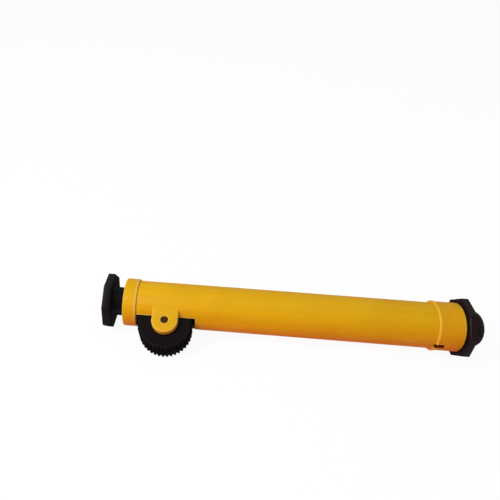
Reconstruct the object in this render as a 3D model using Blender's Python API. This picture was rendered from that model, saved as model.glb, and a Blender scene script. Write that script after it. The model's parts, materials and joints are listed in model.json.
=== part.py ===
"""A hand-held pipette controller: a thumbwheel drives a toothed plunger through a tube, and a soft seat at
the other end holds the pipette. Blender 4.5, metres, +Z up. It lies on the bench on its octagonal plunger
head, its octagonal chuck flange and the rim of its thumbwheel.

Every piece is modelled in the tool's own frame: X runs along the tube from the plunger end to the pipette
end, -Y points at the thumbwheel and Z is the thumbwheel's axle. The empty named bench_pose lays it down."""

import math

import bmesh
import bpy
from mathutils import Matrix, Vector

MM = 0.001

# Clearances
FIT = 0.3 * MM  # between pieces that sit in or against each other
SLIDE = 0.2 * MM  # between pieces that slide
WHEEL_SIDE = 0.5 * MM  # between the wheel's faces and the ears

# Tube and end collar
TUBE_OUTER = 12.5 * MM
TUBE_BORE = 10.2 * MM
STEP_OUTER = 11.5 * MM  # the turned-down ends that the collar and the sleeve slide over
TUBE_LENGTH = 160.85 * MM  # full-width stretch
COLLAR_LENGTH = 7.5 * MM
COLLAR_OUTER = 13.25 * MM
COLLAR_WALL = 2.0 * MM
EDGE_ROUND = 0.9 * MM
STEP_LENGTH = 7.7 * MM  # of the step inside the sleeve

# Thumbwheel and rack
WHEEL_TEETH = 40
TOOTH_MODULE = 0.73 * MM
ADDENDUM = 0.38 * MM  # of a tooth outside the pitch line
TOOTH_SHARE = 0.40  # of the pitch that a tooth fills, measured at the pitch line
FLANK_ANGLE = math.radians(20)
ROOT_CLEARANCE = 0.25 * MM
WHEEL_WIDTH = 13.1 * MM
WHEEL_AHEAD = 16.35 * MM  # wheel centre behind the end collar
WHEEL_OUT = 13.4 * MM  # wheel centre from the tube's axis
WHEEL_DISH = 0.7 * MM
WHEEL_RIM = 2.6 * MM
HUB_RADIUS = 5.0 * MM
AXLE_RADIUS = 2.0 * MM
AXLE_RECESS = 1.2 * MM
WASHER_RADIUS = 3.9 * MM
WASHER_THICKNESS = 0.8 * MM
EAR_THICKNESS = 3.65 * MM
EAR_HALF_WIDTH = 7.1 * MM
EAR_EDGE = 0.45 * MM
SLOT_BEHIND = 16.25 * MM  # slot's end behind the wheel centre

# Plunger
TRAVEL = 100.0 * MM
STEM_RADIUS = 5.0 * MM
PLAIN_PITCHES = 2  # left uncut on the rack inside the bush
SPARE_PITCHES = 4  # cut past the end of the travel
PISTON_LENGTH = 8.0 * MM
PEG_RADIUS = 1.1 * MM  # joins the rack to the piston
RING_RADIUS = 0.75 * MM
BARREL_BORE = 5.65 * MM
BARREL_WALL = 1.5 * MM
HEAD_CORNERS = 8
HEAD_RADIUS = 15.65 * MM
HEAD_THICKNESS = 4.1 * MM
HEAD_TURN = math.radians(71.3)
NECK_RADIUS = 7.95 * MM
NECK_SHOWN = 6.8 * MM
NECK_INSIDE = 1.7 * MM
SOCKET_DEPTH = 6.5 * MM
GUIDE_LENGTH = 7.0 * MM
GUIDE_LIP = 1.4 * MM
SADDLE_LENGTH = 18.0 * MM
SADDLE_HALF_ANGLE = math.radians(58)

# Chuck
SLEEVE_LENGTH = 14.05 * MM
SLEEVE_OUTER = 13.25 * MM
LIP_OUTER = 13.65 * MM
LIP_LENGTH = 1.3 * MM
WINDOW_LENGTH = 4.6 * MM  # of the notch in the sleeve's rear edge, over the snap catch
WINDOW_HEIGHT = 3.0 * MM
WINDOW_TURN = math.radians(10)  # about the tube, from the thumbwheel's side
CATCH_LENGTH = 1.4 * MM
FLANGE_CORNERS = 8
FLANGE_RADIUS = 16.7 * MM
FLANGE_THICKNESS = 3.9 * MM
FLANGE_TURN = math.radians(67.5)
SPIGOT_LENGTH = 5.0 * MM
NOSE_LENGTH = 7.6 * MM
NOSE_RADIUS = 9.8 * MM
NOSE_ROUND = 4.3 * MM
NOSE_WALL = 2.0 * MM
CAGE_RADIUS = 8.2 * MM
SEAL_RADIUS = 6.2 * MM
SEAL_LENGTH = 27.0 * MM
MOUTH_RADIUS = 4.9 * MM
SOCKET_RADIUS = 3.2 * MM
PLUG_LENGTH = 5.5 * MM
PLUG_FLANGE = 2.4 * MM
NIPPLE_LENGTH = 4.5 * MM
NIPPLE_RADIUS = 1.9 * MM
AIR_RADIUS = 0.8 * MM

# Facets round a circle
TUBE_SIDES = 60
PART_SIDES = 40
SMALL_SIDES = 24
RING_SIDES = 6
ARC_STEPS = 4

# Places along the tube
TUBE_START = COLLAR_LENGTH + FIT
TUBE_END = TUBE_START + TUBE_LENGTH
WHEEL_X = COLLAR_LENGTH + WHEEL_AHEAD
SLEEVE_START = TUBE_END + FIT
SLEEVE_END = SLEEVE_START + SLEEVE_LENGTH
FLANGE_START = SLEEVE_END + FIT
FLANGE_END = FLANGE_START + FLANGE_THICKNESS
NOSE_START = FLANGE_END + FIT
NOSE_END = NOSE_START + NOSE_LENGTH
SEAL_END = NOSE_END - NOSE_WALL - FIT
SEAL_START = SEAL_END - SEAL_LENGTH
PLUG_END = SEAL_START - FIT
BARREL_END = PLUG_END - PLUG_FLANGE - FIT
GUIDE_START = WHEEL_X + SLOT_BEHIND + 2 * FIT
BARREL_START = GUIDE_START + GUIDE_LIP + FIT
PISTON_END = BARREL_END - PLUG_LENGTH - 2 * FIT
PISTON_START = PISTON_END - PISTON_LENGTH
HEAD_BACK = -NECK_SHOWN
HEAD_FRONT = HEAD_BACK - HEAD_THICKNESS

# Sizes that follow from the others
PITCH_RADIUS = WHEEL_TEETH * TOOTH_MODULE / 2
WHEEL_RADIUS = PITCH_RADIUS + ADDENDUM
TOOTH_PITCH = math.pi * TOOTH_MODULE
TOOTH_DEPTH = 2 * ADDENDUM + ROOT_CLEARANCE
RACK_PITCH_Y = PITCH_RADIUS - WHEEL_OUT
RACK_TOP_Y = RACK_PITCH_Y - ADDENDUM
RACK_ROOT_Y = RACK_TOP_Y + TOOTH_DEPTH
PEG_OFFSET = RACK_TOP_Y + PEG_RADIUS + FIT
SLOT_HALF = WHEEL_WIDTH / 2 + WHEEL_SIDE
EAR_FACE = SLOT_HALF + EAR_THICKNESS
BARREL_OUTER = BARREL_BORE + BARREL_WALL
SLEEVE_BORE = STEP_OUTER + FIT
BORE_FIT = TUBE_BORE - FIT
SPIGOT_OUTER = SLEEVE_BORE - FIT
WINDOW_END = SLEEVE_START + WINDOW_LENGTH


def clear_scene():
    for old in list(bpy.data.objects):
        bpy.data.objects.remove(old)


def plastic(name, colour, roughness):
    material = bpy.data.materials.new(name)
    material.use_nodes = True
    shader = material.node_tree.nodes["Principled BSDF"]
    shader.inputs["Base Color"].default_value = (*colour, 1)
    shader.inputs["Roughness"].default_value = roughness
    shader.inputs["Metallic"].default_value = 0
    material.diffuse_color = (*colour, 1)
    return material


def steel(name):
    material = plastic(name, (0.2, 0.19, 0.18), 0.35)
    material.node_tree.nodes["Principled BSDF"].inputs["Metallic"].default_value = 1
    return material


def finish(name, mesh_builder, material, smooth=True):
    """Turns the bmesh into a named object with one material, parented to the bench pose."""
    bmesh.ops.recalc_face_normals(mesh_builder, faces=mesh_builder.faces)
    mesh = bpy.data.meshes.new(name)
    mesh_builder.to_mesh(mesh)
    mesh_builder.free()
    piece = bpy.data.objects.new(name, mesh)
    bpy.context.scene.collection.objects.link(piece)
    piece.parent = bpy.data.objects["bench_pose"]
    if material:
        mesh.materials.append(material)
    if smooth:
        mesh.shade_smooth()
        mesh.set_sharp_from_angle(angle=math.radians(32))
    return piece


def revolved(name, profile, material, sides=PART_SIDES):
    """Spins a profile of (x, radius) points about X. It is a closed loop unless both its ends are on X."""
    builder = bmesh.new()
    points = [builder.verts.new((x, 0, radius)) for x, radius in profile]
    on_axis = profile[0][1] == 0 and profile[-1][1] == 0
    lines = [builder.edges.new(pair) for pair in zip(points, points[1:])]
    if not on_axis:
        lines.append(builder.edges.new((points[-1], points[0])))
    around = {"cent": (0, 0, 0), "axis": (1, 0, 0), "angle": 2 * math.pi, "use_merge": True}
    bmesh.ops.spin(builder, geom=points + lines, steps=sides, **around)
    bmesh.ops.remove_doubles(builder, verts=builder.verts, dist=0.001 * MM)
    return finish(name, builder, material)


def extruded(name, outline, start, end, material, along="z", edge_bevel=0.0):
    """Raises an outline from start to end. It holds (x, y) points along z, and (y, z) points along x."""
    builder = bmesh.new()
    if along == "z":
        base = [builder.verts.new((a, b, start)) for a, b in outline]
        rise = Vector((0, 0, end - start))
    else:
        base = [builder.verts.new((start, a, b)) for a, b in outline]
        rise = Vector((end - start, 0, 0))
    face = builder.faces.new(base)
    raised = bmesh.ops.extrude_face_region(builder, geom=[face])
    moved = [item for item in raised["geom"] if isinstance(item, bmesh.types.BMVert)]
    bmesh.ops.translate(builder, verts=moved, vec=rise)
    if edge_bevel:
        rim = [item for item in raised["geom"] if isinstance(item, bmesh.types.BMEdge)]
        bmesh.ops.recalc_face_normals(builder, faces=builder.faces)
        bmesh.ops.bevel(builder, geom=rim, offset=edge_bevel, segments=2, profile=0.5, affect="EDGES")
    return finish(name, builder, material)


def as_cutter(piece):
    piece.hide_render = True
    piece.display_type = "WIRE"
    return piece


def combine(piece, other, operation):
    modifier = piece.modifiers.new(other.name, "BOOLEAN")
    modifier.operation = operation
    modifier.object = as_cutter(other)


def cut(piece, other):
    combine(piece, other, "DIFFERENCE")


def join(piece, other):
    combine(piece, other, "UNION")


def arc(centre, radius, first, last, steps=ARC_STEPS):
    """Points on a circle from one angle to another, both in radians."""
    turns = [first + (last - first) * step / steps for step in range(steps + 1)]
    return [(centre[0] + radius * math.cos(turn), centre[1] + radius * math.sin(turn)) for turn in turns]


def box_outline(left, right, low, high):
    return [(left, low), (right, low), (right, high), (left, high)]


def polygon(corners, radius, turn):
    """Corners in the YZ plane with a flat's normal at this turn from the thumbwheel's side."""
    half = math.pi / corners
    turns = [turn + half + 2 * half * index for index in range(corners)]
    return [(-radius * math.cos(angle), radius * math.sin(angle)) for angle in turns]


def drum(name, start, end, radius, sides=PART_SIDES):
    """A plain cylinder along the tube, used to cut."""
    return revolved(name, [(start, 0), (start, radius), (end, radius), (end, 0)], None, sides)


def cross_pin(name, radius, half_length, sides=SMALL_SIDES):
    """Outline of a round pin on the wheel's axle line, raised along Z."""
    outline = arc((WHEEL_X, -WHEEL_OUT), radius, 0, 2 * math.pi * (1 - 1 / sides), sides - 1)
    return extruded(name, outline, -half_length, half_length, None)


def flat_stem_outline(radius, flat):
    """A circle along X with the side that faces the wheel cut off at y = flat."""
    half = math.acos(flat / radius)
    return arc((0, 0), radius, -half, half, PART_SIDES // 2)


def tooth_half(distance):
    """Half a tooth's width, this far outside the pitch line."""
    return TOOTH_PITCH * TOOTH_SHARE / 2 - distance * math.tan(FLANK_ANGLE)


def beside_wheel(name, outline, start, end):
    """Raises a (y, z) outline along the tube, turned round to where the sleeve's notch is."""
    piece = extruded(name, outline, start, end, None, along="x")
    piece.data.transform(Matrix.Rotation(-WINDOW_TURN, 4, "X"))
    return piece


def body_tube(material):
    profile = [
        (COLLAR_WALL + FIT, TUBE_BORE),
        (COLLAR_WALL + FIT, STEP_OUTER),
        (TUBE_START, STEP_OUTER),
        (TUBE_START, TUBE_OUTER),
        (TUBE_END, TUBE_OUTER),
        (TUBE_END, STEP_OUTER),
        (TUBE_END + STEP_LENGTH, STEP_OUTER),
        (TUBE_END + STEP_LENGTH, TUBE_BORE),
    ]
    tube = revolved("body_tube", profile, material, TUBE_SIDES)
    ear_outline = [(WHEEL_X + EAR_HALF_WIDTH, -TUBE_BORE / 2)]
    ear_outline += [(WHEEL_X - EAR_HALF_WIDTH, -TUBE_BORE / 2)]
    ear_outline += arc((WHEEL_X, -WHEEL_OUT), EAR_HALF_WIDTH, math.pi, 2 * math.pi, 18)
    for side, label in ((1, "upper"), (-1, "lower")):
        inner = side * (SLOT_HALF - FIT)
        ear = extruded(f"{label}_ear", ear_outline, inner, side * EAR_FACE, None, edge_bevel=EAR_EDGE)
        join(tube, ear)
    bore_end = TUBE_END + 2 * STEP_LENGTH
    cut(tube, drum("tube_bore_cutter", -COLLAR_LENGTH, bore_end, TUBE_BORE, TUBE_SIDES))
    slot = box_outline(TUBE_START, WHEEL_X + SLOT_BEHIND, -2 * TUBE_OUTER - WHEEL_OUT, -TUBE_BORE / 2)
    cut(tube, extruded("wheel_slot_cutter", slot, -SLOT_HALF, SLOT_HALF, None))
    cut(tube, cross_pin("axle_hole_cutter", AXLE_RADIUS + FIT / 4, 2 * EAR_FACE))
    half = WINDOW_HEIGHT / 2 - FIT
    opening = box_outline(-2 * TUBE_OUTER, -TUBE_BORE / 2, -half, half)
    opening_end = WINDOW_END - CATCH_LENGTH - 2 * FIT
    cut(tube, beside_wheel("catch_opening_cutter", opening, SLEEVE_START, opening_end))
    catch = box_outline(-SLEEVE_BORE - FIT, -STEP_OUTER + FIT, -half, half)
    join(tube, beside_wheel("snap_catch", catch, WINDOW_END - CATCH_LENGTH - FIT, WINDOW_END - FIT))
    return tube


def end_collar(material):
    outer = arc((EDGE_ROUND, COLLAR_OUTER - EDGE_ROUND), EDGE_ROUND, math.pi, math.pi / 2)
    profile = [(0, NECK_RADIUS + FIT)] + outer
    profile += [
        (COLLAR_LENGTH - EDGE_ROUND / 3, COLLAR_OUTER),
        (COLLAR_LENGTH, COLLAR_OUTER - EDGE_ROUND / 3),
        (COLLAR_LENGTH, STEP_OUTER + FIT),
        (COLLAR_WALL, STEP_OUTER + FIT),
        (COLLAR_WALL, NECK_RADIUS + FIT),
    ]
    return revolved("end_collar", profile, material, TUBE_SIDES)


def stem_bush(material):
    start = COLLAR_WALL + FIT
    profile = [(start, 0), (start, BORE_FIT), (TUBE_START - FIT, BORE_FIT), (TUBE_START - FIT, 0)]
    bush = revolved("stem_bush", profile, material)
    bore = flat_stem_outline(STEM_RADIUS + SLIDE, RACK_TOP_Y - SLIDE)
    cut(bush, extruded("bush_bore_cutter", bore, 0, 2 * TUBE_START, None, along="x"))
    return bush


def rack_guide(material):
    """A saddle that backs the rack where the wheel pushes on it."""
    outline = arc((0, 0), BORE_FIT, -SADDLE_HALF_ANGLE, SADDLE_HALF_ANGLE, 20)
    outline += arc((0, 0), STEM_RADIUS + SLIDE, SADDLE_HALF_ANGLE, -SADDLE_HALF_ANGLE, 20)
    start = WHEEL_X - SADDLE_LENGTH / 2
    return extruded("rack_guide", outline, start, start + SADDLE_LENGTH, material, along="x")


def thumb_wheel(material):
    """A toothed disc with dished faces, recessed round the axle for its two washers."""
    outline = []
    root_radius = WHEEL_RADIUS - TOOTH_DEPTH
    for tooth in range(WHEEL_TEETH):
        middle = math.pi / 2 + 2 * math.pi * tooth / WHEEL_TEETH
        root_half = tooth_half(root_radius - PITCH_RADIUS) / root_radius
        tip_half = tooth_half(ADDENDUM) / WHEEL_RADIUS
        for radius, turn in (
            (root_radius, middle - root_half),
            (WHEEL_RADIUS, middle - tip_half),
            (WHEEL_RADIUS, middle + tip_half),
            (root_radius, middle + root_half),
        ):
            outline.append((radius * math.cos(turn), radius * math.sin(turn)))
    wheel = extruded("thumb_wheel", outline, -WHEEL_WIDTH / 2, WHEEL_WIDTH / 2, material)
    wheel.location = (WHEEL_X, -WHEEL_OUT, 0)
    face = WHEEL_WIDTH / 2
    dish_outer = root_radius - WHEEL_RIM
    washer_floor = SLOT_HALF - WASHER_THICKNESS - FIT
    for side, label in ((1, "upper"), (-1, "lower")):
        floor, above = side * (face - WHEEL_DISH), side * (face + WHEEL_DISH)
        dish = [(floor, HUB_RADIUS), (floor, dish_outer - WHEEL_DISH)]
        dish += [(above, dish_outer + WHEEL_DISH), (above, HUB_RADIUS)]
        recess = [(side * washer_floor, 0), (side * washer_floor, WASHER_RADIUS + FIT)]
        recess += [(above, WASHER_RADIUS + FIT), (above, 0)]
        for kind, profile in (("dish", dish), ("recess", recess)):
            cutter = revolved(f"{label}_{kind}_cutter", profile, None)
            cutter.rotation_euler = (0, -math.pi / 2, 0)
            cutter.location = wheel.location
            cut(wheel, cutter)
    cut(wheel, cross_pin("wheel_bore_cutter", AXLE_RADIUS + SLIDE, WHEEL_WIDTH))
    return wheel


def on_axle(name, profile, material, sides=SMALL_SIDES):
    """A piece turned about the wheel's axle, from a profile of (height above the wheel's middle, radius)."""
    piece = revolved(name, profile, material, sides)
    piece.data.transform(Matrix.Rotation(-math.pi / 2, 4, "Y"))
    piece.location = (WHEEL_X, -WHEEL_OUT, 0)
    return piece


def wheel_axle(material):
    half = EAR_FACE - AXLE_RECESS
    edge = AXLE_RADIUS / 6
    profile = [(-half, 0), (-half, AXLE_RADIUS - edge), (edge - half, AXLE_RADIUS)]
    profile += [(half - edge, AXLE_RADIUS), (half, AXLE_RADIUS - edge), (half, 0)]
    return on_axle("wheel_axle", profile, material)


def wheel_washers(material):
    for side, label in ((1, "upper"), (-1, "lower")):
        outside = side * (SLOT_HALF - FIT / 2)
        inside = outside - side * WASHER_THICKNESS
        profile = [(inside, AXLE_RADIUS + SLIDE), (inside, WASHER_RADIUS)]
        profile += [(outside, WASHER_RADIUS), (outside, AXLE_RADIUS + SLIDE)]
        on_axle(f"{label}_washer", profile, material)


def plunger_rack(material):
    """A half-round bar with teeth across its flat side, from inside the head to the piston's socket."""
    start = NECK_INSIDE - SOCKET_DEPTH + FIT
    outline = flat_stem_outline(STEM_RADIUS, RACK_TOP_Y)
    rack = extruded("plunger_rack", outline, start, PISTON_START - FIT, material, along="x")
    gaps_before = int(WHEEL_AHEAD / TOOTH_PITCH) - PLAIN_PITCHES
    gaps_after = int(TRAVEL / TOOTH_PITCH) + SPARE_PITCHES
    top_half = TOOTH_PITCH / 2 - tooth_half(ADDENDUM)
    root_half = TOOTH_PITCH / 2 - tooth_half(ADDENDUM - TOOTH_DEPTH)
    slope = (top_half - root_half) / TOOTH_DEPTH
    above = ROOT_CLEARANCE
    builder = bmesh.new()
    for gap in range(-gaps_before, gaps_after + 1):
        middle = WHEEL_X + gap * TOOTH_PITCH
        corners = (
            (middle - top_half - slope * above, RACK_TOP_Y - above),
            (middle - root_half, RACK_ROOT_Y),
            (middle + root_half, RACK_ROOT_Y),
            (middle + top_half + slope * above, RACK_TOP_Y - above),
        )
        base = builder.faces.new([builder.verts.new((x, y, -STEM_RADIUS - FIT)) for x, y in corners])
        raised = bmesh.ops.extrude_face_region(builder, geom=[base])
        tops = [item for item in raised["geom"] if isinstance(item, bmesh.types.BMVert)]
        bmesh.ops.translate(builder, verts=tops, vec=(0, 0, 2 * (STEM_RADIUS + FIT)))
    cut(rack, finish("rack_gap_cutter", builder, None))
    peg_end = PISTON_START + PISTON_LENGTH / 2
    peg = [(PISTON_START - 2 * FIT, 0), (PISTON_START - 2 * FIT, PEG_RADIUS)]
    peg += [(peg_end, PEG_RADIUS), (peg_end, 0)]
    peg_piece = revolved("piston_peg", peg, None, SMALL_SIDES)
    peg_piece.location.y = PEG_OFFSET
    join(rack, peg_piece)
    return rack


def plunger_head(material):
    outline = polygon(HEAD_CORNERS, HEAD_RADIUS, HEAD_TURN)
    chamfer = EDGE_ROUND / 3
    head = extruded("plunger_head", outline, HEAD_BACK, HEAD_FRONT, material, along="x", edge_bevel=chamfer)
    neck_start = HEAD_BACK - HEAD_THICKNESS / 2
    neck = [(neck_start, 0), (neck_start, NECK_RADIUS), (NECK_INSIDE - chamfer, NECK_RADIUS)]
    neck += [(NECK_INSIDE, NECK_RADIUS - chamfer), (NECK_INSIDE, 0)]
    join(head, revolved("plunger_neck", neck, None))
    socket_start = NECK_INSIDE - SOCKET_DEPTH
    cut(head, drum("head_socket_cutter", socket_start, 2 * TUBE_START, STEM_RADIUS + FIT, SMALL_SIDES))
    return head


def ring_groove(centre, radius):
    """Profile points of a square groove for a round seal, cut into a surface at this radius."""
    half = RING_RADIUS + FIT
    floor = radius + SLIDE / 3 - 2 * RING_RADIUS
    return [(centre - half, radius), (centre - half, floor), (centre + half, floor), (centre + half, radius)]


def seal_ring(name, centre, outer, material):
    last = 2 * math.pi * (1 - 1 / RING_SIDES)
    profile = arc((centre, outer - RING_RADIUS), RING_RADIUS, 0, last, RING_SIDES - 1)
    return revolved(name, profile, material, SMALL_SIDES)


def piston_and_rings(material, rubber):
    radius = BARREL_BORE - SLIDE
    centres = [PISTON_START + PISTON_LENGTH * share for share in (0.27, 0.73)]
    profile = [(PISTON_START, 0), (PISTON_START, radius)]
    for centre in centres:
        profile += ring_groove(centre, radius)
    profile += [(PISTON_END, radius), (PISTON_END, 0)]
    piston = revolved("piston", profile, material, SMALL_SIDES)
    depth = PISTON_START + PISTON_LENGTH / 2 + FIT
    socket = drum("piston_socket_cutter", 0, depth, PEG_RADIUS + FIT, SMALL_SIDES)
    socket.location.y = PEG_OFFSET
    cut(piston, socket)
    for label, centre in zip(("rear", "front"), centres):
        seal_ring(f"{label}_piston_ring", centre, BARREL_BORE - SLIDE / 2, rubber)


def barrel(material):
    profile = [(BARREL_START, BARREL_BORE), (BARREL_START, BARREL_OUTER)]
    profile += [(BARREL_END, BARREL_OUTER), (BARREL_END, BARREL_BORE)]
    return revolved("barrel", profile, material)


def barrel_guide(material):
    """Centres the barrel in the tube, and its lip stops the piston at the end of its travel."""
    profile = [
        (GUIDE_START, STEM_RADIUS + SLIDE),
        (GUIDE_START, BORE_FIT),
        (GUIDE_START + GUIDE_LENGTH, BORE_FIT),
        (GUIDE_START + GUIDE_LENGTH, BARREL_OUTER + FIT),
        (GUIDE_START + GUIDE_LIP, BARREL_OUTER + FIT),
        (GUIDE_START + GUIDE_LIP, STEM_RADIUS + SLIDE),
    ]
    return revolved("barrel_guide", profile, material)


def barrel_plug(material, rubber):
    """Closes the barrel's far end round an air nipple, and its skirt centres the barrel in the tube."""
    inside = BARREL_BORE - SLIDE
    start = BARREL_END - PLUG_LENGTH
    flange = BARREL_END + FIT
    ring_at = start + PLUG_LENGTH / 2
    profile = [(start, AIR_RADIUS), (start, inside)]
    profile += ring_groove(ring_at, inside)
    profile += [
        (flange, inside),
        (flange, BARREL_OUTER + FIT),
        (start, BARREL_OUTER + FIT),
        (start, BORE_FIT),
        (PLUG_END, BORE_FIT),
        (PLUG_END, NIPPLE_RADIUS),
        (PLUG_END + NIPPLE_LENGTH, NIPPLE_RADIUS - FIT),
        (PLUG_END + NIPPLE_LENGTH, AIR_RADIUS),
    ]
    revolved("barrel_plug", profile, material, SMALL_SIDES)
    seal_ring("plug_ring", ring_at, BARREL_BORE - SLIDE / 2, rubber)


def chuck_sleeve(material):
    edge = EDGE_ROUND
    lip_end = SLEEVE_START + LIP_LENGTH
    profile = [
        (SLEEVE_START, SLEEVE_BORE),
        (SLEEVE_START, LIP_OUTER - edge / 3),
        (SLEEVE_START + edge / 3, LIP_OUTER),
        (lip_end - edge / 3, LIP_OUTER),
        (lip_end, SLEEVE_OUTER),
    ]
    profile += arc((SLEEVE_END - edge, SLEEVE_OUTER - edge), edge, math.pi / 2, 0)
    profile += [(SLEEVE_END, SLEEVE_BORE)]
    sleeve = revolved("chuck_sleeve", profile, material, TUBE_SIDES)
    window = box_outline(-2 * SLEEVE_OUTER, -SLEEVE_BORE / 2, -WINDOW_HEIGHT / 2, WINDOW_HEIGHT / 2)
    cut(sleeve, beside_wheel("snap_window_cutter", window, SLEEVE_START - FIT, WINDOW_END))
    return sleeve


def chuck_flange(material):
    outline = polygon(FLANGE_CORNERS, FLANGE_RADIUS, FLANGE_TURN)
    ends = (FLANGE_END, FLANGE_START)
    flange = extruded("chuck_flange", outline, *ends, material, along="x", edge_bevel=EDGE_ROUND / 3)
    spigot_start = FLANGE_START - SPIGOT_LENGTH
    spigot = [
        (spigot_start, CAGE_RADIUS),
        (spigot_start, SPIGOT_OUTER - FIT),
        (spigot_start + FIT, SPIGOT_OUTER),
        (FLANGE_START + FLANGE_THICKNESS / 2, SPIGOT_OUTER),
        (FLANGE_START + FLANGE_THICKNESS / 2, CAGE_RADIUS),
    ]
    join(flange, revolved("flange_spigot", spigot, None, TUBE_SIDES))
    hole = drum("flange_bore_cutter", spigot_start - SPIGOT_LENGTH, NOSE_END, CAGE_RADIUS + FIT)
    cut(flange, hole)
    return flange


def nose_cap(material):
    """The rounded nose with the cage behind it that holds the pipette seal."""
    inner = SEAL_RADIUS + FIT
    profile = [(SEAL_START, inner), (SEAL_START, CAGE_RADIUS), (NOSE_START, CAGE_RADIUS)]
    profile += [(NOSE_START, NOSE_RADIUS)]
    centre = (NOSE_END - NOSE_ROUND, NOSE_RADIUS - NOSE_ROUND)
    profile += arc(centre, NOSE_ROUND, math.pi / 2, 0, 2 * ARC_STEPS)
    profile += [(NOSE_END, MOUTH_RADIUS), (NOSE_END - NOSE_WALL, MOUTH_RADIUS), (NOSE_END - NOSE_WALL, inner)]
    return revolved("nose_cap", profile, material)


def pipette_seal(material):
    """A tapered soft seat for the pipette's mouthpiece, with a hole for the air nipple at its bottom."""
    floor = SEAL_START + NIPPLE_LENGTH
    profile = [
        (SEAL_START, NIPPLE_RADIUS + FIT),
        (SEAL_START, SEAL_RADIUS),
        (SEAL_END, SEAL_RADIUS),
        (SEAL_END, MOUTH_RADIUS - FIT),
        (floor, SOCKET_RADIUS),
        (floor, NIPPLE_RADIUS + FIT),
    ]
    return revolved("pipette_seal", profile, material)


def corner_drop(corners, radius, turn, roll):
    """How far a polygon's lowest corner is below the tube's axis when the tool is rolled by this angle."""
    lay = Matrix.Rotation(roll, 3, "X")
    return -min((lay @ Vector((0, y, z))).z for y, z in polygon(corners, radius, turn))


def wheel_drop(roll):
    reach = (WHEEL_OUT + WHEEL_RADIUS) * math.sin(roll)
    return reach + WHEEL_WIDTH / 2 * math.cos(roll)


def resting_angles():
    """The roll at which the head, the flange and the wheel all touch the bench, and the tube's tilt then."""
    low, high = 0.0, math.radians(60)
    span = FLANGE_START - HEAD_BACK
    for _ in range(60):
        roll = (low + high) / 2
        head = corner_drop(HEAD_CORNERS, HEAD_RADIUS, HEAD_TURN, roll)
        flange = corner_drop(FLANGE_CORNERS, FLANGE_RADIUS, FLANGE_TURN, roll)
        axis_height = head + (flange - head) * (WHEEL_X - HEAD_BACK) / span
        if axis_height > wheel_drop(roll):
            low = roll
        else:
            high = roll
    return roll, math.atan2(flange - head, span)


def lay_on_bench(pose):
    """Sets the roll and tilt, then moves the tool so that it stands on z = 0, centred on x and y."""
    roll, tilt = resting_angles()
    pose.rotation_euler = (roll, -tilt, 0)
    bpy.context.view_layer.update()
    graph = bpy.context.evaluated_depsgraph_get()
    corners = []
    for piece in bpy.data.objects:
        if piece.type == "MESH" and not piece.hide_render:
            evaluated = piece.evaluated_get(graph)
            corners += [evaluated.matrix_world @ vertex.co for vertex in evaluated.data.vertices]
    lowest = Vector([min(corner[axis] for corner in corners) for axis in range(3)])
    highest = Vector([max(corner[axis] for corner in corners) for axis in range(3)])
    pose.location = (-(lowest.x + highest.x) / 2, -(lowest.y + highest.y) / 2, -lowest.z)


def build():
    clear_scene()
    pose = bpy.data.objects.new("bench_pose", None)
    bpy.context.scene.collection.objects.link(pose)
    yellow = plastic("yellow_plastic", (0.79, 0.41, 0.02), 0.38)
    black = plastic("black_plastic", (0.018, 0.015, 0.018), 0.42)
    white = plastic("white_plastic", (0.78, 0.77, 0.73), 0.4)
    clear = plastic("natural_plastic", (0.66, 0.68, 0.66), 0.3)
    rubber = plastic("black_rubber", (0.02, 0.018, 0.018), 0.7)
    silicone = plastic("grey_silicone", (0.42, 0.42, 0.4), 0.55)
    body_tube(yellow)
    end_collar(yellow)
    stem_bush(white)
    rack_guide(white)
    thumb_wheel(black)
    wheel_axle(steel("axle_steel"))
    wheel_washers(white)
    plunger_rack(black)
    plunger_head(black)
    piston_and_rings(white, rubber)
    barrel(clear)
    barrel_guide(black)
    barrel_plug(white, rubber)
    chuck_sleeve(yellow)
    chuck_flange(black)
    nose_cap(black)
    pipette_seal(silicone)
    lay_on_bench(pose)


build()
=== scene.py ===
"""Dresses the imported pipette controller. Every piece is shaped in the tool's own frame, in metres: X along the
tube from the plunger to the pipette end, -Y towards the thumbwheel, Z along the thumbwheel's axle."""

import json
import math

import bmesh
import bpy
from mathutils import Euler, Matrix, Vector


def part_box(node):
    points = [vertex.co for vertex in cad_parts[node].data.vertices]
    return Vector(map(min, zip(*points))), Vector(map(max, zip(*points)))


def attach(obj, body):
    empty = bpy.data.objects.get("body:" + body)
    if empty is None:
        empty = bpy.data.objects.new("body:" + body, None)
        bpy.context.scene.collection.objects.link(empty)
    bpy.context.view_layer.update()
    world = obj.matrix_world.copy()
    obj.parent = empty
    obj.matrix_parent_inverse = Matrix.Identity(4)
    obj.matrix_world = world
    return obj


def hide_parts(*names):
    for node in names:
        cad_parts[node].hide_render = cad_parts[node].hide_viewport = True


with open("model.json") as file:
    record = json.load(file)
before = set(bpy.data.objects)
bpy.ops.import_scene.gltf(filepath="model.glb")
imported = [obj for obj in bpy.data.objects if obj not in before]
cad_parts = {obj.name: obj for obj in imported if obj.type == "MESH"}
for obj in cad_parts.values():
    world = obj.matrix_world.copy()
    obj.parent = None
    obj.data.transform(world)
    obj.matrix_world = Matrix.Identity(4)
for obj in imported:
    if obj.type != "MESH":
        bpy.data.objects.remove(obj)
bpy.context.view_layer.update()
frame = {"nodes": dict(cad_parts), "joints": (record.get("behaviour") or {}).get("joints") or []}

MM = 0.001
FIT = 0.3 * MM

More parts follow.
